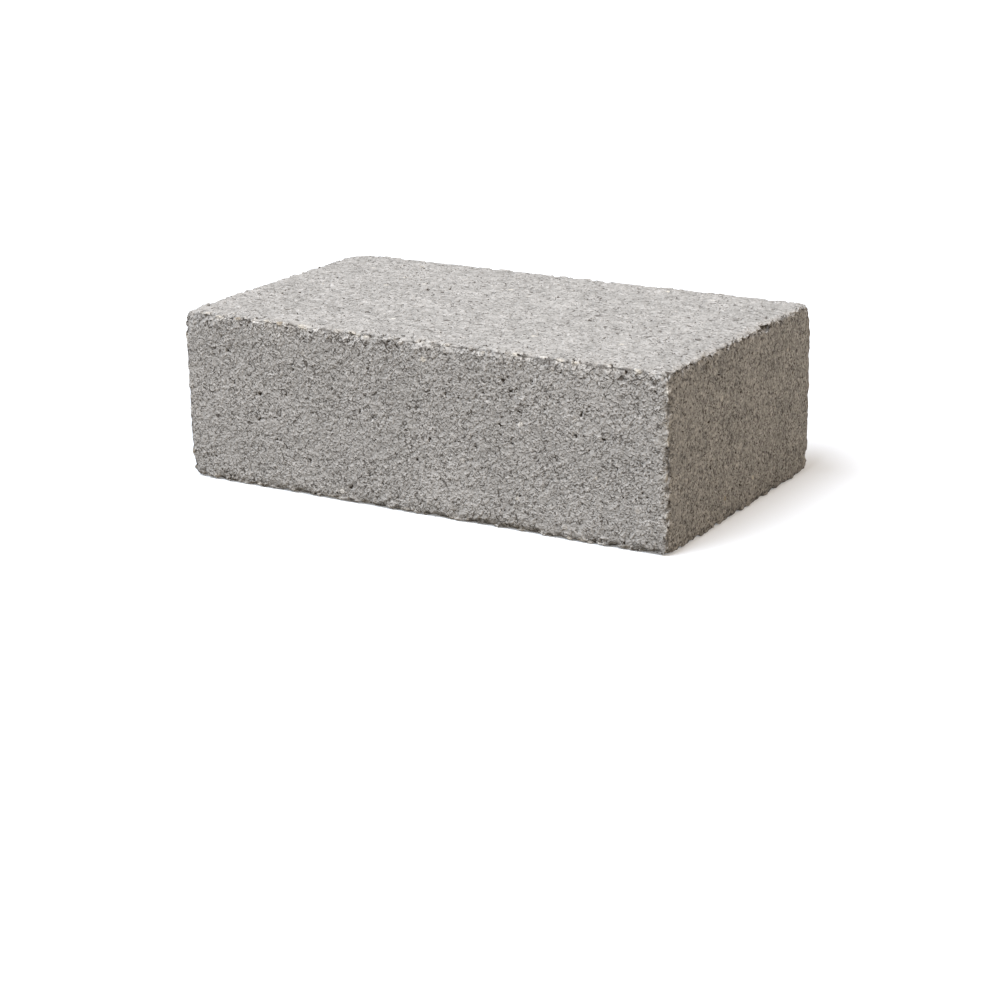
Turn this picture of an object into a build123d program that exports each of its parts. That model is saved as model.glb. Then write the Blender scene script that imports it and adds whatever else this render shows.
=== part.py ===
from build123d import *
import os

# A solid concrete building block, pressed in one piece from small stone and cement.
# It lies on its bed, with the long face towards -Y and an end towards +X.
# The origin is at the middle of the underside.

# Overall size
block_length = 440
block_width = 250
block_height = 140

# Edges: handling has rounded every arris and knocked each corner off.
# The corner's wear is measured along the three arrises that meet there.
arris_radius = 2.5
corner_wear = 6.5

# Chip: a stone has come out of the upper arris of the end, nearer to the back.
chip_radius = 5
chip_from_back = 85


def corner_break(corner, middle):
    """Plane that takes the corner off, facing the middle of the block."""
    way = Vector(*(1 if step > 0 else -1 for step in middle - Vector(corner)))
    return Plane(origin=Vector(corner) + Vector(way.X * corner_wear), z_dir=way)


with BuildPart() as block:
    with BuildSketch(Plane.XY):
        Rectangle(block_length, block_width)
    extrude(amount=block_height)

    middle = block.part.center()
    for corner in block.vertices():
        split(bisect_by=corner_break(corner, middle), keep=Keep.TOP)
    fillet(block.edges(), radius=arris_radius)

    with Locations((block_length / 2, block_width / 2 - chip_from_back, block_height)):
        Sphere(chip_radius, mode=Mode.SUBTRACT)

block.part.label = "concrete_block"

os.makedirs("parts", exist_ok=True)
export_step(block.part, "parts/concrete_block.step")
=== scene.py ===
"""A solid concrete block on a pale floor, dressed as it comes from the mould and the yard."""
import logging
import math
from dataclasses import dataclass, field
from enum import Enum

import bmesh
import bpy
import numpy as np
from mathutils import Euler, Matrix, Vector


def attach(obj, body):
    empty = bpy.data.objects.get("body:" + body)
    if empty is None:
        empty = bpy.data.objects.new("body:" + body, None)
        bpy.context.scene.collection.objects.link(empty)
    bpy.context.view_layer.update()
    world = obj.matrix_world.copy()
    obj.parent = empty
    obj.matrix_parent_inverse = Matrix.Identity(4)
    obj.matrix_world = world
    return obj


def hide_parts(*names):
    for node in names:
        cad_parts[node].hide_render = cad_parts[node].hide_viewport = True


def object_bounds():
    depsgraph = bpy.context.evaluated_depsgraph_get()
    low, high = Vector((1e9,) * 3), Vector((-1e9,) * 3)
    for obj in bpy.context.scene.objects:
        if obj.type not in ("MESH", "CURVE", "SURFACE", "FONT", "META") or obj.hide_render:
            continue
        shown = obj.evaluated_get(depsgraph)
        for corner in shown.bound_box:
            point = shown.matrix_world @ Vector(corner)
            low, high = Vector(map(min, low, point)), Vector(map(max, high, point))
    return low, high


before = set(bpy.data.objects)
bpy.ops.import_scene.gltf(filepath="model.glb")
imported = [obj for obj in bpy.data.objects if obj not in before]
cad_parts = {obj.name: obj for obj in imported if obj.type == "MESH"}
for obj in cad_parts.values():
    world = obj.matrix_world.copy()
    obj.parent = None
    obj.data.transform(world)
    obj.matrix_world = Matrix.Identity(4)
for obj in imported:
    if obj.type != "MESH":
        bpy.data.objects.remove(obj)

Tree = bpy.types.NodeTree
Node = bpy.types.Node
Socket = bpy.types.NodeSocket
Span = tuple[float, float]
Triple = tuple[float, float, float]

MM = 0.001
# How far Blender's plain noise strays, as a rule, from its middle.
NOISE_SPREAD = 0.134
NOISE_MIDDLE = 0.5
LOG = logging.getLogger("concrete_block")
CAD_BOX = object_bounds()


def linear(hex_colour: str) -> tuple[float, float, float, float]:
    """Turns an sRGB hex colour to the linear values that Blender's sockets take.

    Args:
        hex_colour: Six hex digits after a hash sign.

    Returns:
        Linear red, green and blue, with an alpha of 1.
    """
    shares = [int(hex_colour[i:i + 2], 16) / 255 for i in (1, 3, 5)]
    return (*[s / 12.92 if s <= 0.04045 else ((s + 0.055) / 1.055) ** 2.4 for s in shares], 1.0)


def per_mm(size_mm: float) -> float:
    """Turns a pattern's size in millimetres to the scale that a texture takes, per metre."""
    return 1 / (size_mm * MM)


def add_node(tree: Tree, kind: str, feeds: dict | None = None, **settings: object) -> Node:
    """Adds a node, sets its own properties and feeds its sockets.

    Args:
        tree: Node tree that the node goes into.
        kind: Blender's name for the kind of node.
        feeds: Socket name or number to a constant, a socket, or a node whose first output is meant.
        **settings: Properties of the node itself.

    Returns:
        The new node.
    """
    node = tree.nodes.new(kind)
    for name, value in settings.items():
        setattr(node, name, value)
    for key, value in (feeds or {}).items():
        if isinstance(value, Node):
            value = value.outputs[0]
        if isinstance(value, Socket):
            tree.links.new(value, node.inputs[key])
        else:
            node.inputs[key].default_value = value
    return node


def scatter(tree: Tree, where: Socket, size_mm: float) -> Node:
    """Scatters grains of one size, as a noise about zero in spreads of its own.

    Args:
        tree: Tree of a material or of a shape.
        where: Socket with the place in the mix, in metres.
        size_mm: Size of the grains.

    Returns:
        Node that gives how far a place stands above or below the middle.
    """
    noise = add_node(tree, "ShaderNodeTexNoise", {"Vector": where, "Scale": per_mm(size_mm), "Detail": 0.0})
    return add_node(tree, "ShaderNodeMath", {0: noise, 1: 1 / NOISE_SPREAD, 2: -NOISE_MIDDLE / NOISE_SPREAD},
                    operation="MULTIPLY_ADD")


@dataclass(frozen=True)
class Zones:
    """Nodes that tell where on the block a place is, each as a share.

    Arris, edge and corner are 1 there and fall to 0 away from it, arris over a narrow band and edge over
    a wider one. Beds falls away from a bed. Standing says how well worn stones show on the arris there.
    Pressed is 1 on a bed, upright on the four sides, and ends on the two ends. Border is the texture
    torn open below the upper bed's arrises.
    """

    arris: Node
    edge: Node
    corner: Node
    beds: Node
    standing: Node
    pressed: Node
    upright: Node
    ends: Node
    border: Node


@dataclass(frozen=True)
class FaceZones:
    """How far the arrises, corners, beds and ends reach into the faces, and how much is left there."""

    arris_core_mm: float = 1.0
    arris_band_mm: float = 6.0
    open_band_mm: float = 16.0
    corner_mm: float = 30.0
    pressed_mm: float = 3.0
    beds_away: float = 0.3
    standing_outer: float = 0.3
    border_most: float = 0.3
    torn_at_foot: float = 0.3

    def mark(self, tree: Tree, place: Socket) -> Zones:
        """Marks the zones out on the block.

        Args:
            tree: Tree of a material or of a shape.
            place: Socket with the place on the block, in metres.

        Returns:
            The zones' nodes.
        """
        inset, reach, bed, end = self.insets(tree, place)
        band = self.open_band_mm * MM
        arris = add_node(tree, "ShaderNodeMapRange",
                         {0: inset, 1: self.arris_core_mm * MM, 2: self.arris_band_mm * MM, 3: 1.0, 4: 0.0},
                         interpolation_type="SMOOTHSTEP")
        edge = add_node(tree, "ShaderNodeMapRange", {0: inset, 1: 0.0, 2: band, 3: 1.0, 4: 0.0})
        corner = add_node(tree, "ShaderNodeMapRange",
                          {0: reach, 1: 0.0, 2: self.corner_mm * MM, 3: 1.0, 4: 0.0})
        beds = add_node(tree, "ShaderNodeMapRange", {0: bed, 1: 0.0, 2: band, 3: 1.0, 4: self.beds_away})
        outer = add_node(tree, "ShaderNodeMath", {0: bed, 1: end}, operation="MAXIMUM")
        standing = add_node(tree, "ShaderNodeMapRange",
                            {0: outer, 1: 0.0, 2: band, 3: self.standing_outer, 4: 1.0})
        pressed = add_node(tree, "ShaderNodeMapRange", {0: bed, 1: self.pressed_mm * MM, 2: 0.0})
        upright = add_node(tree, "ShaderNodeMath", {0: 1.0, 1: pressed}, operation="SUBTRACT")
        ends = add_node(tree, "ShaderNodeMapRange", {0: end, 1: self.pressed_mm * MM, 2: 0.0})

        near = add_node(tree, "ShaderNodeMapRange", {0: bed, 1: 0.0, 2: band, 3: self.border_most, 4: 0.0})
        level = add_node(tree, "ShaderNodeSeparateXYZ", {0: place}).outputs["Z"]
        foot, head = (corner_point[2] for corner_point in CAD_BOX)
        torn = add_node(tree, "ShaderNodeMapRange",
                        {0: level, 1: foot, 2: head, 3: self.torn_at_foot, 4: 1.0})
        border = add_node(tree, "ShaderNodeMath", {0: near, 1: torn}, operation="MULTIPLY")
        return Zones(arris, edge, corner, beds, standing, pressed, upright, ends, border)

    @staticmethod
    def insets(tree: Tree, place: Socket) -> tuple[Socket, Socket, Socket, Socket]:
        """Finds how far in from an arris, a corner, a bed and an end a place is.

        Args:
            tree: Tree of a material or of a shape.
            place: Socket with the place on the block, in metres.

        Returns:
            Sockets with the distances to the second and the third nearest of the faces, to the nearer bed
            and to the nearer end.
        """
        low, high = (Vector(corner_point) for corner_point in CAD_BOX)
        centred = add_node(tree, "ShaderNodeVectorMath",
                           {0: place, 1: (low + high) / 2}, operation="SUBTRACT")
        folded = add_node(tree, "ShaderNodeVectorMath", {0: centred}, operation="ABSOLUTE")
        left = add_node(tree, "ShaderNodeVectorMath", {0: (high - low) / 2, 1: folded}, operation="SUBTRACT")
        x, y, z = add_node(tree, "ShaderNodeSeparateXYZ", {0: left}).outputs
        lesser = add_node(tree, "ShaderNodeMath", {0: x, 1: y}, operation="MINIMUM")
        greater = add_node(tree, "ShaderNodeMath", {0: x, 1: y}, operation="MAXIMUM")
        capped = add_node(tree, "ShaderNodeMath", {0: greater, 1: z}, operation="MINIMUM")
        second = add_node(tree, "ShaderNodeMath", {0: lesser, 1: capped}, operation="MAXIMUM")
        third = add_node(tree, "ShaderNodeMath", {0: greater, 1: z}, operation="MAXIMUM")
        return second.outputs[0], third.outputs[0], z, x


@dataclass(frozen=True)
class Ground:
    """What every part of the mix is laid on, in one tree.

    Turned is the place in the mix, out of line with the faces, and wandered the same place a little
    astray. Openness is about 1, more where the face is torn and less where it is pressed.
    """

    tree: Tree
    turned: Socket
    wandered: Socket
    zones: Zones
    openness: Node


@dataclass(frozen=True)
class Openness:
    """How open the face is: it changes in patches, and a bed is closer and an end more open than a side."""

    patch_mm: float = 16.0
    patch_levels: Span = (0.4, 0.6)
    patch_span: Span = (0.84, 1.12)
    on_beds: float = -0.3
    on_ends: float = 0.16

    def lay(self, tree: Tree, turned: Socket, zones: Zones) -> Node:
        """Lays the patches out.

        Args:
            tree: Tree of a material or of a shape.
            turned: Socket with the place in the mix.
            zones: Where on the block a place is.

        Returns:
            Node that gives how open the face is.
        """
        patches = add_node(tree, "ShaderNodeTexNoise", {"Vector": turned, "Scale": per_mm(self.patch_mm),
                                                        "Detail": 2.0, "Roughness": 0.6})
        lowest, highest = self.patch_levels
        close, loose = self.patch_span
        patchy = add_node(tree, "ShaderNodeMapRange", {0: patches, 1: lowest, 2: highest, 3: close, 4: loose},
                          interpolation_type="SMOOTHSTEP")
        openness = add_node(tree, "ShaderNodeMath", {0: zones.border, 1: zones.upright, 2: patchy},
                            operation="MULTIPLY_ADD")
        openness = add_node(tree, "ShaderNodeMath", {0: zones.pressed, 1: self.on_beds, 2: openness},
                            operation="MULTIPLY_ADD")
        return add_node(tree, "ShaderNodeMath", {0: zones.ends, 1: self.on_ends, 2: openness},
                        operation="MULTIPLY_ADD")


@dataclass(frozen=True)
class Crevices:
    """Short gaps between grains, which the material darkens with painted shade: lines that wander round the
    grains, broken to strokes.

    The width, the level at which a stroke starts and the span over which it fades in are in spreads.
    """

    size_mm: float
    broken_mm: float
    width: float
    start: float
    fade: float = 0.8
    core: float = 0.2
    open_gain: float = 1.2

    def draw(self, ground: Ground, openness: Node) -> Node:
        """Draws the crevices, more of them where the face is open.

        Args:
            ground: What the mix is laid on.
            openness: Node that gives how open the face is for these crevices.

        Returns:
            Node that gives 1 in a crevice and 0 out of it.
        """
        tree = ground.tree
        line = add_node(tree, "ShaderNodeMath", {0: scatter(tree, ground.wandered, self.size_mm)},
                        operation="ABSOLUTE")
        thin = add_node(tree, "ShaderNodeMapRange", {0: line, 1: self.width, 2: self.core * self.width},
                        interpolation_type="SMOOTHSTEP")
        kept = add_node(tree, "ShaderNodeMath",
                        {0: openness, 1: self.open_gain, 2: scatter(tree, ground.turned, self.broken_mm)},
                        operation="MULTIPLY_ADD")
        start = self.start + self.open_gain
        kept = add_node(tree, "ShaderNodeMapRange", {0: kept, 1: start, 2: start + self.fade},
                        interpolation_type="SMOOTHSTEP")
        return add_node(tree, "ShaderNodeMath", {0: thin, 1: kept}, operation="MULTIPLY")


@dataclass(frozen=True)
class Stones:
    """Small stones of the mix: worn and pale along the arrises, partly pale stone and partly a painted
    highlight there, and a few bared on the faces.

    Dome, gap and flush are distances from a stone's middle, in the stone's own size.
    """

    size_mm: float = 7.5
    dome: Span = (0.25, 0.65)
    gap: Span = (0.5, 0.7)
    flush: Span = (0.24, 0.34)
    picked: Span = (0.982, 0.983)

    def lay(self, ground: Ground) -> tuple[Node, Node, Node, Node]:
        """Lays the stones out.

        Args:
            ground: What the mix is laid on.

        Returns:
            Nodes that give the stones, the gaps between them, a tone for each, and where one shows worn.
        """
        tree = ground.tree
        stones = add_node(tree, "ShaderNodeTexVoronoi",
                          {"Vector": ground.wandered, "Scale": per_mm(self.size_mm)})
        away = stones.outputs["Distance"]
        dome = add_node(tree, "ShaderNodeMapRange",
                        {0: away, 1: self.dome[0], 2: self.dome[1], 3: 1.0, 4: 0.0},
                        interpolation_type="SMOOTHSTEP")
        gap = add_node(tree, "ShaderNodeMapRange", {0: away, 1: self.gap[0], 2: self.gap[1]},
                       interpolation_type="SMOOTHSTEP")
        tone = add_node(tree, "ShaderNodeSeparateXYZ", {0: stones.outputs["Color"]})
        picked = add_node(tree, "ShaderNodeMapRange",
                          {0: tone.outputs["Y"], 1: self.picked[0], 2: self.picked[1]})
        flush = add_node(tree, "ShaderNodeMapRange",
                         {0: away, 1: self.flush[0], 2: self.flush[1], 3: 1.0, 4: 0.0})
        bared = add_node(tree, "ShaderNodeMath", {0: picked, 1: flush}, operation="MULTIPLY")
        along = add_node(tree, "ShaderNodeMath", {0: ground.zones.arris, 1: dome}, operation="MULTIPLY")
        along = add_node(tree, "ShaderNodeMath", {0: along, 1: ground.zones.standing}, operation="MULTIPLY")
        worn = add_node(tree, "ShaderNodeMath", {0: bared, 1: along}, operation="MAXIMUM")
        return dome, gap, tone, worn


@dataclass(frozen=True)
class Voids:
    """Pits between stones, and the hole that a stone has left in the upper arris of the right end.

    Levels are of the noise that the pits are drawn from: a pit is where it lies below the limit.
    """

    size_mm: float = 5.0
    open_span: Span = (0.7, 1.6)
    limit_span: Span = (0.28, 0.36)
    more_on_beds: float = 0.07
    more_on_arrises: float = 0.06
    rim: Span = (-0.01, 0.04)
    lost_mm: float = 6.2
    lost_core: float = 0.8
    lost_from_back_mm: float = 85.0
    lost_deepest: float = 0.85
    lost_shallowest: float = 0.3

    def lay(self, ground: Ground, fine: Node, turn: Triple) -> Node:
        """Lays the pits and the hole out.

        Args:
            ground: What the mix is laid on.
            fine: Node that gives the fine grain, which makes the hole ragged.
            turn: Angles by which the mix is turned, in radians.

        Returns:
            Node that gives 1 in a pit and 0 out of it.
        """
        tree = ground.tree
        noise = add_node(tree, "ShaderNodeTexNoise",
                         {"Vector": ground.wandered, "Scale": per_mm(self.size_mm), "Detail": 2.0,
                          "Roughness": 0.6})
        closed, torn = self.open_span
        fewest, most = self.limit_span
        limit = add_node(tree, "ShaderNodeMapRange",
                         {0: ground.openness, 1: closed, 2: torn, 3: fewest, 4: most})
        limit = add_node(tree, "ShaderNodeMath", {0: ground.zones.pressed, 1: self.more_on_beds, 2: limit},
                         operation="MULTIPLY_ADD")
        limit = add_node(tree, "ShaderNodeMath", {0: ground.zones.arris, 1: self.more_on_arrises, 2: limit},
                         operation="MULTIPLY_ADD")
        below = add_node(tree, "ShaderNodeMath", {0: limit, 1: noise}, operation="SUBTRACT")
        pits = add_node(tree, "ShaderNodeMapRange", {0: below, 1: self.rim[0], 2: self.rim[1]},
                        interpolation_type="SMOOTHSTEP")

        lost = add_node(tree, "ShaderNodeVectorMath", {0: ground.wandered, 1: self.lost_stone(turn)},
                        operation="DISTANCE")
        hole = add_node(tree, "ShaderNodeMapRange", {0: lost.outputs["Value"], 1: self.lost_mm * MM,
                                                     2: self.lost_core * self.lost_mm * MM})
        ragged = add_node(tree, "ShaderNodeMapRange", {0: fine, 1: -1.0, 2: 1.0, 3: self.lost_deepest,
                                                       4: self.lost_shallowest})
        hole = add_node(tree, "ShaderNodeMath", {0: hole, 1: ragged}, operation="MULTIPLY")
        return add_node(tree, "ShaderNodeMath", {0: pits, 1: hole}, operation="MAXIMUM")

    def lost_stone(self, turn: Triple) -> Vector:
        """Finds the middle of the lost stone in the turned mix."""
        spot = Vector(CAD_BOX[1]) - Vector((0.0, self.lost_from_back_mm * MM, 0.0))
        return Euler(turn, "XYZ").to_matrix() @ spot


@dataclass(frozen=True)
class GrainTones:
    """How much a spread of each grain lightens the paste, and how much more on the plainer ends and beds."""

    fine: float = 0.09
    fine_keener: float = 0.05
    lump: float = 0.05
    lump_keener: float = 0.06
    keen_on_beds: float = 0.4
    bloom_mm: float = 8.0
    bloom: float = 0.07
    # Pale flecks on the crests of the fine grain: partly pale sand, partly painted glints where raised grain
    # catches the light.
    pale_grain_and_glint_levels: Span = (0.6, 1.9)
    pale_grain_and_glint: float = 0.3

    def lay(self, ground: Ground, fine: Node, lump: Node) -> Node:
        """Lays the tone of the paste out.

        Args:
            ground: What the mix is laid on.
            fine: Node that gives the fine grain.
            lump: Node that gives the lumps.

        Returns:
            Node that gives how much paler or darker than usual the paste is.
        """
        tree = ground.tree
        pressed = ground.zones.pressed
        ends = ground.zones.ends
        faint = add_node(tree, "ShaderNodeMath", {0: pressed, 1: self.keen_on_beds}, operation="MULTIPLY")
        keen = add_node(tree, "ShaderNodeMath", {0: faint, 1: ends}, operation="MAXIMUM")
        # Pale flecks where the fine grain stands highest: partly pale sand, partly painted glints.
        pale_grain_and_glint = add_node(tree, "ShaderNodeMapRange",
                          {0: fine, 1: self.pale_grain_and_glint_levels[0], 2: self.pale_grain_and_glint_levels[1], 4: self.pale_grain_and_glint})
        sandy = add_node(tree, "ShaderNodeMath", {0: keen, 1: self.fine_keener, 2: self.fine},
                         operation="MULTIPLY_ADD")
        tone = add_node(tree, "ShaderNodeMath", {0: fine, 1: sandy, 2: pale_grain_and_glint}, operation="MULTIPLY_ADD")
        gritty = add_node(tree, "ShaderNodeMath", {0: keen, 1: self.lump_keener, 2: self.lump},
                          operation="MULTIPLY_ADD")
        tone = add_node(tree, "ShaderNodeMath", {0: lump, 1: gritty, 2: tone}, operation="MULTIPLY_ADD")
        plain = add_node(tree, "ShaderNodeMath", {0: pressed, 1: ends}, operation="MAXIMUM")
        bloom = add_node(tree, "ShaderNodeMath", {0: scatter(tree, ground.turned, self.bloom_mm), 1: plain},
                         operation="MULTIPLY")
        return add_node(tree, "ShaderNodeMath", {0: bloom, 1: self.bloom, 2: tone}, operation="MULTIPLY_ADD")


@dataclass(frozen=True)
class GrainHeights:
    """How high a spread of each grain stands and how deep a crevice is, in millimetres.

    Lumps stand higher in the open border, and along an arris as they would in a border of that share.
    """

    lump: float = 0.12
    lump_in_border: float = 0.9
    arris_as_border: float = 0.35
    fine: float = 0.15
    fine_on_beds: float = 0.07
    wide_crevice: float = -0.5
    crevice: float = -0.36

    def lay(self, ground: Ground, fine: Node, lump: Node, crevice: Node, wide: Node) -> Node:
        """Lays the height of the fine relief out.

        Args:
            ground: What the mix is laid on.
            fine: Node that gives the fine grain.
            lump: Node that gives the lumps.
            crevice: Node that gives all crevices.
            wide: Node that gives the wide crevices, which are deeper.

        Returns:
            Node that gives the height in millimetres.
        """
        tree = ground.tree
        zones = ground.zones
        worn = add_node(tree, "ShaderNodeMath",
                        {0: zones.arris, 1: self.arris_as_border}, operation="MULTIPLY")
        chunky = add_node(tree, "ShaderNodeMath", {0: zones.border, 1: worn}, operation="MAXIMUM")
        chunky = add_node(tree, "ShaderNodeMath", {0: chunky, 1: zones.upright}, operation="MULTIPLY")
        chunky = add_node(tree, "ShaderNodeMath", {0: chunky, 1: self.lump_in_border, 2: self.lump},
                          operation="MULTIPLY_ADD")
        height = add_node(tree, "ShaderNodeMath", {0: lump, 1: chunky}, operation="MULTIPLY")
        grainy = add_node(tree, "ShaderNodeMath", {0: zones.pressed, 1: self.fine_on_beds, 2: self.fine},
                          operation="MULTIPLY_ADD")
        for grain, gain in ((fine, grainy), (wide, self.wide_crevice), (crevice, self.crevice)):
            height = add_node(tree, "ShaderNodeMath",
                              {0: grain, 1: gain, 2: height}, operation="MULTIPLY_ADD")
        return height


@dataclass(frozen=True)
class Grain:
    """Nodes that the laid mix gives. Heights are in millimetres, lumps in spreads, the others are shares."""

    height: Node
    lump: Node
    tone: Node
    crevice: Node
    stone: Node
    gap: Node
    stone_tone: Node
    worn: Node
    cavity: Node
    zones: Zones


@dataclass(frozen=True)
class Aggregate:
    """Sand, grit and stones of the mix as a pressed face shows them.

    The same pattern shapes the surface and colours it, so that a crevice takes painted shade where it is
    deep.
    It is turned away from the faces, so that no face lies along the pattern's own grid. Real sand is
    finer: it is drawn as coarse as it needs to be to show.
    """

    turn: Triple = (0.5, 0.7, 0.3)
    wander_mm: float = 1.1
    wander_size_mm: float = 3.0
    sand_mm: float = 1.5
    sand_share: float = 0.64
    grit_mm: float = 2.1
    grit_share: float = 0.51
    lump_mm: float = 4.0
    pit_levels: Span = (-1.1, -2.2)
    pit_depth: float = 0.7
    torn_gain: float = 4.0
    shallower_on_beds: float = -0.05
    face_zones: FaceZones = FaceZones()
    open_patches: Openness = Openness()
    short: Crevices = Crevices(size_mm=2.7, broken_mm=2.3, width=0.42, start=-0.25)
    long: Crevices = Crevices(size_mm=4.6, broken_mm=3.2, width=0.42, start=0.6)
    wide: Crevices = Crevices(size_mm=8.0, broken_mm=5.5, width=0.34, start=1.0)
    tones: GrainTones = GrainTones()
    heights: GrainHeights = GrainHeights()
    stones: Stones = Stones()
    voids: Voids = Voids()

    def lay(self, tree: Tree, place: Socket) -> Grain:
        """Lays the whole mix out in a node tree.

        Args:
            tree: Tree of a material or of a shape.
            place: Socket with the place on the block as it left the mould, in metres.

        Returns:
            The pattern's nodes.
        """
        ground = self.prepare(tree, place)
        sand = scatter(tree, ground.wandered, self.sand_mm)
        grit = scatter(tree, ground.wandered, self.grit_mm)
        lump = scatter(tree, ground.wandered, self.lump_mm)
        mixed = add_node(tree, "ShaderNodeMath", {0: sand, 1: self.sand_share}, operation="MULTIPLY")
        mixed = add_node(tree, "ShaderNodeMath",
                         {0: grit, 1: self.grit_share, 2: mixed}, operation="MULTIPLY_ADD")
        fine = add_node(tree, "ShaderNodeMath", {0: mixed, 1: ground.openness}, operation="MULTIPLY")

        torn = add_node(tree, "ShaderNodeMath",
                        {0: ground.zones.border, 1: self.torn_gain, 2: ground.zones.upright},
                        operation="MULTIPLY_ADD")
        wide = self.wide.draw(ground, torn)
        crevice = self.gather_crevices(ground, fine, wide)
        stone, gap, stone_tone, worn = self.stones.lay(ground)
        return Grain(
            height=self.heights.lay(ground, fine, lump, crevice, wide),
            lump=lump,
            tone=self.tones.lay(ground, fine, lump),
            crevice=crevice,
            stone=stone,
            gap=gap,
            stone_tone=stone_tone,
            worn=worn,
            cavity=self.voids.lay(ground, fine, self.turn),
            zones=ground.zones,
        )

    def prepare(self, tree: Tree, place: Socket) -> Ground:
        """Prepares what every part of the mix is laid on.

        Args:
            tree: Tree of a material or of a shape.
            place: Socket with the place on the block as it left the mould, in metres.

        Returns:
            The ground that the mix is laid on.
        """
        turned = add_node(tree, "ShaderNodeVectorRotate", {"Vector": place, "Rotation": self.turn},
                          rotation_type="EULER_XYZ").outputs[0]
        drift = add_node(tree, "ShaderNodeTexNoise", {"Vector": turned, "Scale": per_mm(self.wander_size_mm),
                                                      "Detail": 3.0, "Roughness": 0.6})
        centred = add_node(tree, "ShaderNodeVectorMath", {0: drift.outputs["Color"], 1: (NOISE_MIDDLE,) * 3},
                           operation="SUBTRACT")
        step = add_node(tree, "ShaderNodeVectorMath", {0: centred, "Scale": 2 * self.wander_mm * MM},
                        operation="SCALE")
        wandered = add_node(tree, "ShaderNodeVectorMath", {0: turned, 1: step}, operation="ADD").outputs[0]
        zones = self.face_zones.mark(tree, place)
        return Ground(tree, turned, wandered, zones, self.open_patches.lay(tree, turned, zones))

    def gather_crevices(self, ground: Ground, fine: Node, wide: Node) -> Node:
        """Gathers the crevices of all sizes and the pits of the fine grain.

        Args:
            ground: What the mix is laid on.
            fine: Node that gives the fine grain.
            wide: Node that gives the wide crevices.

        Returns:
            Node that gives 1 in a crevice and 0 out of it, and a little less on the beds.
        """
        tree = ground.tree
        deep, deepest = self.pit_levels
        pits = add_node(tree, "ShaderNodeMapRange", {0: fine, 1: deep, 2: deepest, 4: self.pit_depth},
                        interpolation_type="SMOOTHSTEP")
        crevice = self.short.draw(ground, ground.openness)
        for other in (self.long.draw(ground, ground.openness), wide, pits):
            crevice = add_node(tree, "ShaderNodeMath", {0: crevice, 1: other}, operation="MAXIMUM")
        shallow = add_node(tree, "ShaderNodeMath",
                           {0: ground.zones.pressed, 1: self.shallower_on_beds, 2: 1.0},
                           operation="MULTIPLY_ADD")
        return add_node(tree, "ShaderNodeMath", {0: crevice, 1: shallow}, operation="MULTIPLY")


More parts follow.
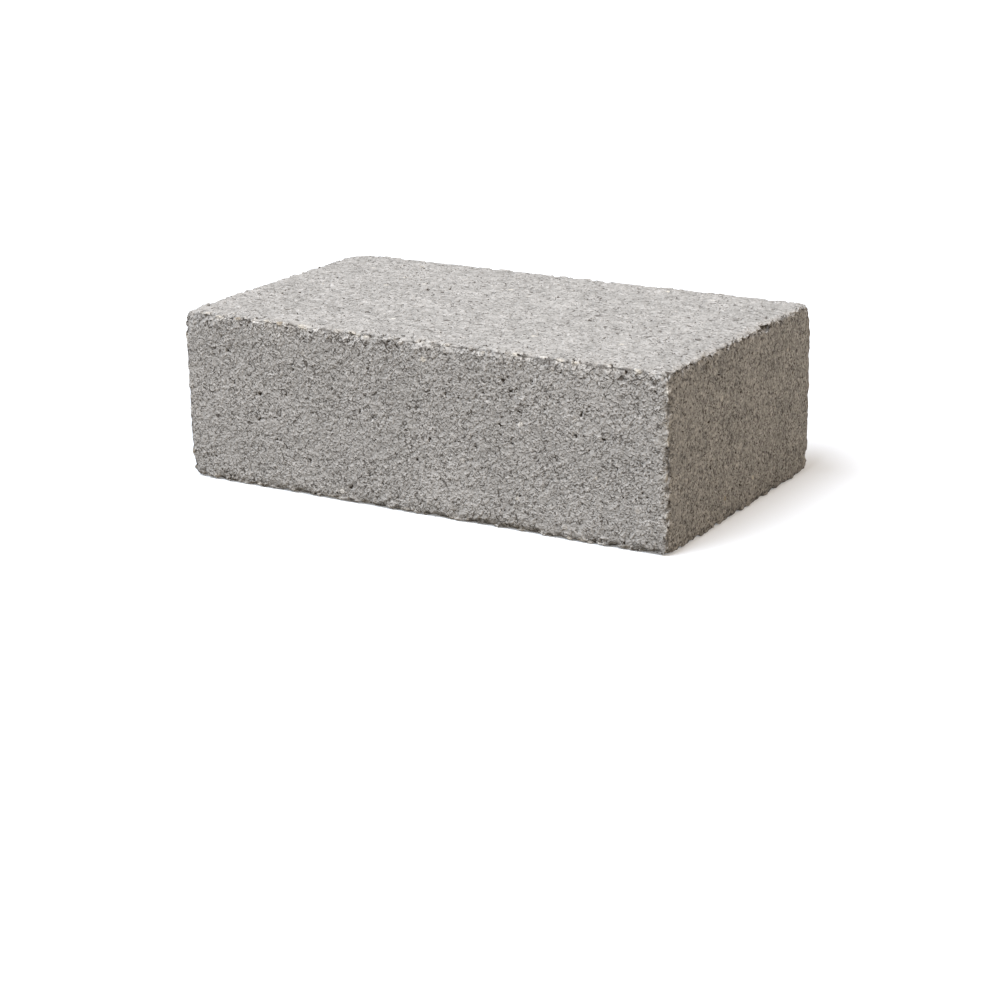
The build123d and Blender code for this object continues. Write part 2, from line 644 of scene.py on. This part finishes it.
@dataclass(frozen=True)
class PressedConcrete:
    """Semi-dry concrete pressed in a mould and cured: matt grey paste over sand, grit and small stones.

    The eye gets a fine rough grey: low lumps that catch the light, with short crevices between
    them darkened by painted shade, and at the arrises worn stones that stand out pale and creamy,
    partly pale stone and partly a painted highlight.
    """

    paste_dark: str = "#787672"
    paste_pale: str = "#CBC8C4"
    # Stone colours, paler than the paste: pale stone, and along the arrises partly a painted highlight on the
    # rounded stones.
    stone_grey: str = "#BAB6B0"
    stone_pale: str = "#D6D2CB"
    stone_cream: str = "#CFC9BE"
    stone_tan: str = "#A99E8D"
    stone_stops: tuple[float, ...] = (0.0, 0.3, 0.65, 0.98)
    # Painted shade: the colour that crevices, pits and the lost stone's hole take in place of the shade deep
    # in them.
    hollow_shade: str = "#3A3128"
    earth: str = "#857863"
    mottle_mm: float = 45.0
    cloud_gain: float = 0.36
    cloud_base: float = 0.32
    soiled_levels: Span = (0.42, 0.62)
    soiled_most: float = 0.2
    soiled_falloff: float = 1.5
    # How strongly crevices take the painted shade, and how much less on worn stones.
    crevice_shade: float = 0.84
    crevice_on_stone: float = -0.71
    # How much painted shade the gaps between worn stones along the arrises take.
    washed_gap_shade: float = 0.62
    cavity_mm: float = -0.5
    washed_mm: float = -0.6
    relief: float = 1.02
    roughness: float = 0.92
    place_name: str = "moulded_place"

    def material(self, aggregate: Aggregate) -> bpy.types.Material:
        """Makes the material over the aggregate's own pattern.

        Args:
            aggregate: Mix that shaped the surface.

        Returns:
            The finished material.
        """
        material = bpy.data.materials.new("pressed_concrete")
        material.use_nodes = True
        tree = material.node_tree
        tree.nodes.clear()
        place = add_node(tree, "ShaderNodeAttribute", attribute_name=self.place_name).outputs["Vector"]
        grain = aggregate.lay(tree, place)

        # Painted shade in the gaps between the worn stones along the arrises.
        washed = add_node(tree, "ShaderNodeMath", {0: grain.zones.arris, 1: grain.gap}, operation="MULTIPLY")
        washed = add_node(tree, "ShaderNodeMath", {0: washed, 1: self.washed_gap_shade}, operation="MULTIPLY")
        # Painted shade in the crevices, less of it on worn stones.
        crevice_shade_share = add_node(tree, "ShaderNodeMath",
                        {0: grain.worn, 1: self.crevice_on_stone, 2: self.crevice_shade},
                        operation="MULTIPLY_ADD")
        deep = add_node(tree, "ShaderNodeMath", {0: grain.crevice, 1: crevice_shade_share}, operation="MULTIPLY")
        # Pits, the lost stone's hole and the gaps along the arrises take the painted shade too.
        for other in (washed, grain.cavity):
            deep = add_node(tree, "ShaderNodeMath", {0: deep, 1: other}, operation="MAXIMUM")
        paste = self.paste(tree, place, grain)
        # Worn stones take the stone colours: pale stone, partly a painted highlight along the arrises.
        body = add_node(tree, "ShaderNodeMix", {0: grain.worn, 6: paste, 7: self.stones(tree, grain)},
                        data_type="RGBA")
        # Mixes the painted shade colour into the crevices, pits, gaps and hole.
        colour = add_node(tree, "ShaderNodeMix", {0: deep, 6: body.outputs[2], 7: linear(self.hollow_shade)},
                          data_type="RGBA")

        height = grain.height
        for sunk, depth in ((grain.cavity, self.cavity_mm), (washed, self.washed_mm)):
            height = add_node(tree, "ShaderNodeMath",
                              {0: sunk, 1: depth, 2: height}, operation="MULTIPLY_ADD")
        bump = add_node(tree, "ShaderNodeBump",
                        {"Strength": 1.0, "Distance": self.relief * MM, "Height": height})
        shader = add_node(tree, "ShaderNodeBsdfPrincipled", {"Base Color": colour.outputs[2],
                                                             "Roughness": self.roughness, "Normal": bump})
        add_node(tree, "ShaderNodeOutputMaterial", {"Surface": shader})
        return material

    def paste(self, tree: Tree, place: Socket, grain: Grain) -> Socket:
        """Colours the paste: cloudy grey, with a faint tinge of earth along the handled arrises.

        Args:
            tree: Tree of the material.
            place: Socket with the place on the block as it left the mould, in metres.
            grain: The laid mix.

        Returns:
            Socket with the colour.
        """
        mottle = add_node(tree, "ShaderNodeTexNoise",
                          {"Vector": place, "Scale": per_mm(self.mottle_mm), "Detail": 3.0})
        cloud = add_node(tree, "ShaderNodeMath", {0: mottle, 1: self.cloud_gain, 2: self.cloud_base},
                         operation="MULTIPLY_ADD")
        share = add_node(tree, "ShaderNodeMath", {0: grain.tone, 1: cloud}, operation="ADD")
        paste = add_node(tree, "ShaderNodeMix",
                         {0: share, 6: linear(self.paste_dark), 7: linear(self.paste_pale)},
                         data_type="RGBA")
        clean, dirty = self.soiled_levels
        soiled = add_node(tree, "ShaderNodeMapRange", {0: mottle, 1: clean, 2: dirty, 4: self.soiled_most},
                          interpolation_type="SMOOTHSTEP")
        handled = add_node(tree, "ShaderNodeMath",
                           {0: grain.zones.edge, 1: self.soiled_falloff}, operation="POWER")
        soiled = add_node(tree, "ShaderNodeMath", {0: soiled, 1: handled}, operation="MULTIPLY")
        return add_node(tree, "ShaderNodeMix", {0: soiled, 6: paste.outputs[2], 7: linear(self.earth)},
                        data_type="RGBA").outputs[2]

    def stones(self, tree: Tree, grain: Grain) -> Socket:
        """Colours the stones, each in one of four tones.

        Args:
            tree: Tree of the material.
            grain: The laid mix.

        Returns:
            Socket with the colour.
        """
        stones = add_node(tree, "ShaderNodeValToRGB", {0: grain.stone_tone})
        stones.color_ramp.interpolation = "CONSTANT"
        # Along the arrises the stones' paleness is partly a painted highlight.
        tones = (self.stone_grey, self.stone_pale, self.stone_cream, self.stone_tan)
        ramp = stones.color_ramp.elements
        while len(ramp) < len(tones):
            ramp.new(1.0)
        for stop, at, tone in zip(ramp, self.stone_stops, tones):
            stop.position = at
            stop.color = linear(tone)
        return stones.outputs["Color"]


class Side(Enum):
    """Sides of the block: the axis that each faces along, the way it faces, and the axes of its map."""

    TOP = (2, 1, 0, 1)
    UNDERSIDE = (2, -1, 0, 1)
    FRONT = (1, -1, 0, 2)
    BACK = (1, 1, 2, 0)
    LEFT_END = (0, -1, 2, 1)
    RIGHT_END = (0, 1, 2, 1)


@dataclass
class ConcreteBlock:
    """The block: the frame's solid, given the grain, pits and crumbled arrises of pressed concrete."""

    node: str = "concrete_block"
    name: str = "pressed_concrete_block"
    body: str = "root"
    slot: str = "concrete"
    skin_mm: float = 0.9
    merge_mm: float = 0.01
    most_triangles: int = 196_000
    inset_mm: float = 0.25
    face_mm: float = 0.05
    face_spreads: float = 2.0
    arris_mm: float = 0.9
    cavity_mm: float = 1.4
    crumble_mm: float = 4.6
    crumble_size_mm: float = 10.0
    crumble_levels: Span = (0.45, 0.67)
    crumble_falloff: float = 3.0
    crumble_at_corner: float = 0.7
    corner_mm: float = 2.0
    corner_falloff: float = 2.0
    map_name: str = "OFBake"
    map_margin_mm: float = 4.0
    aggregate: Aggregate = field(default_factory=Aggregate)
    finish: PressedConcrete = field(default_factory=PressedConcrete)

    def build(self) -> bpy.types.Object:
        """Builds the block, dresses it and ties it to the frame.

        Returns:
            The finished piece.
        """
        form = self.mould_form()
        skin = form.modifiers.new("even_skin", "REMESH")
        skin.mode = "VOXEL"
        skin.voxel_size = self.skin_mm * MM
        relief = form.modifiers.new("grain", "NODES")
        relief.node_group = self.relief_nodes()
        fine = self.settled(form)
        thin = form.modifiers.new("thinned", "DECIMATE")
        thin.ratio = self.most_triangles / sum(len(f.vertices) - 2 for f in fine.polygons)
        thin.use_collapse_triangulate = True
        mesh = self.settled(form)
        mesh.name = self.name
        bpy.data.objects.remove(form)
        bpy.data.meshes.remove(fine)

        block = bpy.data.objects.new(self.name, mesh)
        bpy.context.scene.collection.objects.link(block)
        mesh.shade_smooth()
        self.map_sides(mesh)
        mesh.materials.clear()
        mesh.materials.append(self.finish.material(self.aggregate))
        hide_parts(self.node)
        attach(block, self.body)
        LOG.info("%s: %d triangles", block.name, len(mesh.polygons))
        return block

    def mould_form(self) -> bpy.types.Object:
        """Copies the frame's solid, with its loose triangles merged.

        Returns:
            An object to shape.
        """
        form = bmesh.new()
        form.from_mesh(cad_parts[self.node].data)
        bmesh.ops.remove_doubles(form, verts=form.verts, dist=self.merge_mm * MM)
        mesh = bpy.data.meshes.new("mould_form")
        form.to_mesh(mesh)
        form.free()
        mould = bpy.data.objects.new("mould_form", mesh)
        bpy.context.scene.collection.objects.link(mould)
        return mould

    @staticmethod
    def settled(form: bpy.types.Object) -> bpy.types.Mesh:
        """Gives the mesh that a form's modifiers make of it."""
        return bpy.data.meshes.new_from_object(form.evaluated_get(bpy.context.evaluated_depsgraph_get()))

    def relief_nodes(self) -> bpy.types.NodeTree:
        """Makes the shape tree that sinks gaps, pits and crumbled arrises into the faces.

        Returns:
            Geometry node group for a modifier.
        """
        tree = bpy.data.node_groups.new("concrete_relief", "GeometryNodeTree")
        tree.interface.new_socket("Geometry", in_out="INPUT", socket_type="NodeSocketGeometry")
        tree.interface.new_socket("Geometry", in_out="OUTPUT", socket_type="NodeSocketGeometry")
        given = add_node(tree, "NodeGroupInput")
        place = add_node(tree, "GeometryNodeInputPosition").outputs[0]
        kept = add_node(tree, "GeometryNodeStoreNamedAttribute",
                        {"Geometry": given, "Name": self.finish.place_name, "Value": place},
                        data_type="FLOAT_VECTOR", domain="POINT")
        depth = self.sink(tree, place, self.aggregate.lay(tree, place))
        inward = add_node(tree, "ShaderNodeMath", {0: depth, 1: -1.0}, operation="MULTIPLY")
        normal = add_node(tree, "GeometryNodeInputNormal")
        shift = add_node(tree, "ShaderNodeVectorMath", {0: normal, "Scale": inward}, operation="SCALE")
        sunk = add_node(tree, "GeometryNodeSetPosition", {"Geometry": kept, "Offset": shift})
        add_node(tree, "NodeGroupOutput", {0: sunk})
        return tree

    def sink(self, tree: Tree, place: Socket, grain: Grain) -> Node:
        """Works out how deep each place on the block sinks.

        Args:
            tree: Tree of the shape.
            place: Socket with the place on the block as it left the mould, in metres.
            grain: The laid mix.

        Returns:
            Node that gives the depth in metres.
        """
        zones = grain.zones
        lumps = add_node(tree, "ShaderNodeTexNoise", {"Vector": place, "Scale": per_mm(self.crumble_size_mm),
                                                      "Detail": 3.0, "Roughness": 0.65})
        whole, gone = self.crumble_levels
        broken = add_node(tree, "ShaderNodeMapRange",
                          {0: lumps, 1: whole, 2: gone, 3: 0.0, 4: self.crumble_mm * MM})
        near = add_node(tree, "ShaderNodeMath", {0: zones.edge, 1: self.crumble_falloff}, operation="POWER")
        share = add_node(tree, "ShaderNodeMath", {0: zones.corner, 1: self.crumble_at_corner, 2: zones.beds},
                         operation="MULTIPLY_ADD")
        near = add_node(tree, "ShaderNodeMath", {0: near, 1: share}, operation="MULTIPLY")
        knocked = add_node(tree, "ShaderNodeMath",
                           {0: zones.corner, 1: self.corner_falloff}, operation="POWER")
        between = add_node(tree, "ShaderNodeMath", {0: 1.0, 1: grain.stone}, operation="SUBTRACT")
        washed = add_node(tree, "ShaderNodeMath",
                          {0: zones.arris, 1: self.arris_mm * MM}, operation="MULTIPLY")
        rise = add_node(tree, "ShaderNodeMapRange",
                        {0: grain.lump, 1: -self.face_spreads, 2: self.face_spreads,
                         3: 2 * self.face_spreads * self.face_mm * MM, 4: 0.0})

        depth = add_node(tree, "ShaderNodeMath", {0: broken, 1: near, 2: self.inset_mm * MM},
                         operation="MULTIPLY_ADD")
        depth = add_node(tree, "ShaderNodeMath", {0: knocked, 1: self.corner_mm * MM, 2: depth},
                         operation="MULTIPLY_ADD")
        depth = add_node(tree, "ShaderNodeMath", {0: between, 1: washed, 2: depth}, operation="MULTIPLY_ADD")
        depth = add_node(tree, "ShaderNodeMath", {0: rise, 1: depth}, operation="ADD")
        return add_node(tree, "ShaderNodeMath", {0: grain.cavity, 1: self.cavity_mm * MM, 2: depth},
                        operation="MULTIPLY_ADD")

    def map_sides(self, mesh: bpy.types.Mesh) -> None:
        """Lays the six sides out flat, beside each other, on the map that textures are baked through.

        Args:
            mesh: Triangles that hold their place on the block as it left the mould.
        """
        place = np.empty(len(mesh.vertices) * 3, np.float32)
        mesh.attributes[self.finish.place_name].data.foreach_get("vector", place)
        corner = np.empty(len(mesh.loops), np.int32)
        mesh.loops.foreach_get("vertex_index", corner)
        place = place.reshape(-1, 3)[corner].reshape(-1, 3, 3)
        facing = np.cross(place[:, 1] - place[:, 0], place[:, 2] - place[:, 0])
        axis = np.abs(facing).argmax(1)
        way = np.sign(np.take_along_axis(facing, axis[:, None], 1))[:, 0]

        low, high = (np.array(corner_point) for corner_point in CAD_BOX)
        length, width, height = high - low
        margin = self.map_margin_mm * MM
        places = {
            Side.TOP: (0, 0),
            Side.UNDERSIDE: (0, width + margin),
            Side.FRONT: (0, 2 * (width + margin)),
            Side.BACK: (length + margin, 0),
            Side.LEFT_END: (length + height + 2 * margin, 0),
            Side.RIGHT_END: (length + height + 2 * margin, width + margin),
        }
        sheet = length + 2 * height + 4 * margin
        spots = np.zeros((len(place), 3, 2), np.float32)
        for side, start in places.items():
            faces_along, faces_way, across, along = side.value
            own = (axis == faces_along) & (way == faces_way)
            flat = place[own][:, :, [across, along]] - low[[across, along]]
            spots[own] = (flat + np.array(start) + margin) / sheet
        sheet_map = mesh.uv_layers.new(name=self.map_name)
        sheet_map.data.foreach_set("uv", spots.ravel())


def looked_at(tree: Tree) -> Node:
    """Tells what is seen, straight or in a reflection or through glass, from what only throws light.

    Args:
        tree: Tree of a material or of the world.

    Returns:
        Node that gives 1 for what is seen and 0 for the rest.
    """
    path = add_node(tree, "ShaderNodeLightPath")
    seen = path.outputs["Is Camera Ray"]
    for other in ("Is Glossy Ray", "Is Transmission Ray"):
        seen = add_node(tree, "ShaderNodeMath", {0: seen, 1: path.outputs[other]}, operation="MAXIMUM")
    return seen


@dataclass(frozen=True)
class SeamlessPaper:
    """White studio paper: a matt white ground that keeps a soft grey shadow."""

    seen: str = "#E0E3E7"
    bounced: str = "#847C70"
    glow: str = "#FFFFFF"
    lift: float = 0.2
    roughness: float = 1.0

    def material(self) -> bpy.types.Material:
        """Makes the paper, white to the camera and dimmer to the light that it throws back.

        Returns:
            The finished material.
        """
        material = bpy.data.materials.new("seamless_paper")
        material.use_nodes = True
        tree = material.node_tree
        tree.nodes.clear()
        plain = add_node(tree, "ShaderNodeBsdfDiffuse",
                         {"Color": linear(self.seen), "Roughness": self.roughness})
        glow = add_node(tree, "ShaderNodeEmission", {"Color": linear(self.glow), "Strength": self.lift})
        white = add_node(tree, "ShaderNodeAddShader", {0: plain, 1: glow})
        dim = add_node(tree, "ShaderNodeBsdfDiffuse",
                       {"Color": linear(self.bounced), "Roughness": self.roughness})
        shader = add_node(tree, "ShaderNodeMixShader", {0: looked_at(tree), 1: dim, 2: white})
        add_node(tree, "ShaderNodeOutputMaterial", {"Surface": shader})
        return material


@dataclass
class Studio:
    """Plain studio: a white floor, a large soft lamp above, a weaker one at the side, and light all round."""

    floor_m: float = 40.0
    key_from: Triple = (-0.34, -0.46, 0.845)
    key: str = "#F0F6FF"
    key_strength: float = 4.72
    key_spread_deg: float = 50.0
    side_from: Triple = (0.62, -0.22, 0.5)
    side: str = "#FFEEDB"
    side_strength: float = 0.95
    side_spread_deg: float = 20.0
    fill: str = "#FFF0DE"
    fill_strength: float = 0.31
    backdrop: str = "#FFFFFF"
    paper: SeamlessPaper = field(default_factory=SeamlessPaper)

    def build(self) -> None:
        """Builds the floor, the lamps and the surrounding light."""
        self.lay_floor()
        self.hang_lamp("soft_key", self.key_from, self.key, self.key_strength, self.key_spread_deg)
        self.hang_lamp("side_lamp", self.side_from, self.side, self.side_strength, self.side_spread_deg)
        self.surround()

    def lay_floor(self) -> None:
        """Lays the paper floor under the block."""
        form = bmesh.new()
        bmesh.ops.create_grid(form, x_segments=1, y_segments=1, size=self.floor_m / 2)
        mesh = bpy.data.meshes.new("floor")
        form.to_mesh(mesh)
        form.free()
        mesh.materials.append(self.paper.material())
        floor = bpy.data.objects.new("floor", mesh)
        bpy.context.scene.collection.objects.link(floor)
        LOG.info("floor laid")

    def hang_lamp(self, name: str, comes_from: Triple, colour: str, strength: float,
                  spread_deg: float) -> None:
        """Hangs a large soft lamp far off.

        Args:
            name: Name of the lamp.
            comes_from: Direction from the block to the lamp.
            colour: Colour of its light.
            strength: Light on a surface that faces it.
            spread_deg: Angle that it fills, seen from the block.
        """
        lamp = bpy.data.lights.new(name, "SUN")
        lamp.color = linear(colour)[:3]
        lamp.energy = strength
        lamp.angle = math.radians(spread_deg)
        hung = bpy.data.objects.new(name, lamp)
        hung.rotation_euler = Vector(comes_from).to_track_quat("Z", "Y").to_euler()
        bpy.context.scene.collection.objects.link(hung)
        LOG.info("%s hung", name)

    def surround(self) -> None:
        """Surrounds the scene with light that the camera sees as white."""
        world = bpy.data.worlds.new("studio_walls")
        bpy.context.scene.world = world
        world.use_nodes = True
        tree = world.node_tree
        tree.nodes.clear()
        soft = add_node(tree, "ShaderNodeBackground",
                        {"Color": linear(self.fill), "Strength": self.fill_strength})
        white = add_node(tree, "ShaderNodeBackground", {"Color": linear(self.backdrop), "Strength": 1.0})
        shader = add_node(tree, "ShaderNodeMixShader", {0: looked_at(tree), 1: soft, 2: white})
        add_node(tree, "ShaderNodeOutputWorld", {"Surface": shader})


@dataclass(frozen=True)
class PhotoCamera:
    """Camera at the photograph's place, worked out from the block's corners."""

    lens_mm: float = 85.4
    sensor_mm: float = 36.0
    azimuth_deg: float = 31.37
    elevation_deg: float = 17.79
    roll_deg: float = -1.06
    distance_m: float = 1.945
    aside_m: float = -0.0004
    above_m: float = 0.02239

    def place(self) -> None:
        """Stands the camera and makes it the scene's own."""
        azimuth = math.radians(self.azimuth_deg)
        elevation = math.radians(self.elevation_deg)
        away = Vector((math.sin(azimuth) * math.cos(elevation), -math.cos(azimuth) * math.cos(elevation),
                       math.sin(elevation)))
        turn = Matrix.Rotation(math.radians(self.roll_deg), 3, away)
        right = turn @ Vector((math.cos(azimuth), math.sin(azimuth), 0.0))
        up = away.cross(right)
        camera = bpy.data.objects.new("photo_camera", bpy.data.cameras.new("photo_camera"))
        camera.data.sensor_width = self.sensor_mm
        camera.data.lens = self.lens_mm
        facing = Matrix((right, up, away)).transposed().to_4x4()
        spot = self.distance_m * away - self.aside_m * right - self.above_m * up
        camera.matrix_world = Matrix.Translation(spot) @ facing
        bpy.context.scene.collection.objects.link(camera)
        bpy.context.scene.camera = camera


def main() -> None:
    """Builds the block, the studio and the camera in order."""
    logging.basicConfig(level=logging.INFO)
    ConcreteBlock().build()
    Studio().build()
    PhotoCamera().place()
    bpy.context.scene.view_settings.view_transform = "Standard"


if __name__ == "__main__":
    main()
